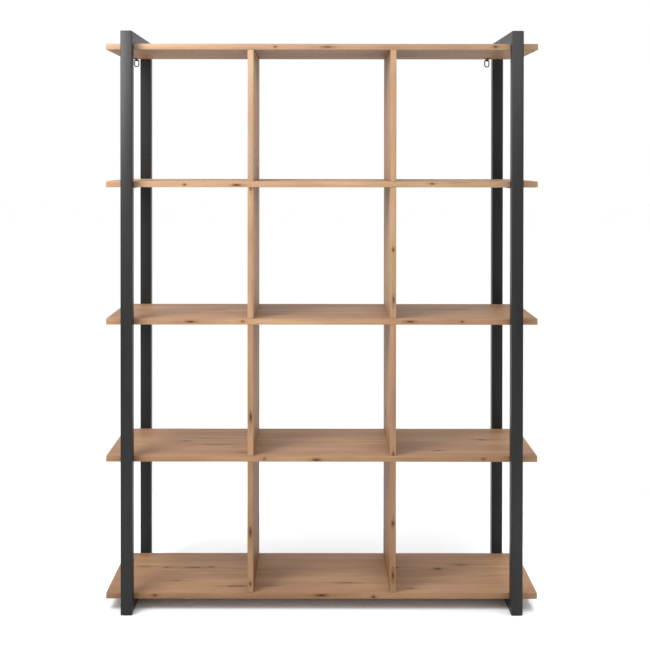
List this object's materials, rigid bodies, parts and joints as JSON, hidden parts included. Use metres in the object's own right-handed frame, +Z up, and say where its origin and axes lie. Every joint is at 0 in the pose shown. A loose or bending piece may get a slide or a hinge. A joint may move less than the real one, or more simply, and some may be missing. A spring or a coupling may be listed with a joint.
{
  "type": "cube storage unit",
  "caption": "Open cube storage unit: long oak-look shelves and upright dividers held between closed black steel side frames, with wire rings under the top shelf for tying it to a wall.",
  "frame": {"origin": "on the floor, under the middle of the unit's overall box", "axes": "+Z up; +X along the shelves to the right as seen from the front; the front faces -Y"},
  "size_m": [1.294, 0.4046, 1.7399],
  "materials": {
    "oak_board": "knotty light oak look, satin, with matching edges",
    "frame_steel": "anthracite powder coat, fine texture, satin",
    "black_plastic": "black moulded plastic",
    "beech_dowel": "plain beech, unfinished",
    "hanger_steel": "black coated wire and strip steel"
  },
  "bodies": {
    "unit": {"left_front_post": "frame_steel", "left_rear_post": "frame_steel", "left_bottom_rail": "frame_steel", "left_top_rail": "frame_steel", "left_bearer_shelf_2": "frame_steel", "left_bearer_shelf_3": "frame_steel", "left_bearer_shelf_4": "frame_steel", "right_front_post": "frame_steel", "right_rear_post": "frame_steel", "right_bottom_rail": "frame_steel", "right_top_rail": "frame_steel", "right_bearer_shelf_2": "frame_steel", "right_bearer_shelf_3": "frame_steel", "right_bearer_shelf_4": "frame_steel", "bottom_shelf": "oak_board", "shelf_2": "oak_board", "shelf_3": "oak_board", "shelf_4": "oak_board", "top_shelf": "oak_board", "divider_row1_left": "oak_board", "divider_row1_right": "oak_board", "divider_row2_left": "oak_board", "divider_row2_right": "oak_board", "divider_row3_left": "oak_board", "divider_row3_right": "oak_board", "divider_row4_left": "oak_board", "divider_row4_right": "oak_board", "dowel_bottom_shelf_left_front": "beech_dowel", "dowel_bottom_shelf_left_rear": "beech_dowel", "dowel_bottom_shelf_right_front": "beech_dowel", "dowel_bottom_shelf_right_rear": "beech_dowel", "dowel_shelf_2_left_front": "beech_dowel", "dowel_shelf_2_left_rear": "beech_dowel", "dowel_shelf_2_right_front": "beech_dowel", "dowel_shelf_2_right_rear": "beech_dowel", "dowel_shelf_3_left_front": "beech_dowel", "dowel_shelf_3_left_rear": "beech_dowel", "dowel_shelf_3_right_front": "beech_dowel", "dowel_shelf_3_right_rear": "beech_dowel", "dowel_shelf_4_left_front": "beech_dowel", "dowel_shelf_4_left_rear": "beech_dowel", "dowel_shelf_4_right_front": "beech_dowel", "dowel_shelf_4_right_rear": "beech_dowel", "dowel_top_shelf_left_front": "beech_dowel", "dowel_top_shelf_left_rear": "beech_dowel", "dowel_top_shelf_right_front": "beech_dowel", "dowel_top_shelf_right_rear": "beech_dowel", "left_front_glide": "black_plastic", "left_front_cap": "black_plastic", "left_rear_glide": "black_plastic", "left_rear_cap": "black_plastic", "left_hanger_strap": "hanger_steel", "right_front_glide": "black_plastic", "right_front_cap": "black_plastic", "right_rear_glide": "black_plastic", "right_rear_cap": "black_plastic", "right_hanger_strap": "hanger_steel"},
    "left_ring": {"left_hanger_ring": "hanger_steel"},
    "right_ring": {"right_hanger_ring": "hanger_steel"}
  },
  "joints": [
    {"name": "left_ring_swing", "type": "hinge", "parent": "unit", "child": "left_ring", "pos_m": [-0.609, 0.16375, 1.68155], "axis": [1, 0, 0], "range_deg": [-80, 105]},
    {"name": "right_ring_swing", "type": "hinge", "parent": "unit", "child": "right_ring", "pos_m": [0.543, 0.16375, 1.68155], "axis": [1, 0, 0], "range_deg": [-80, 105]}
  ]
}
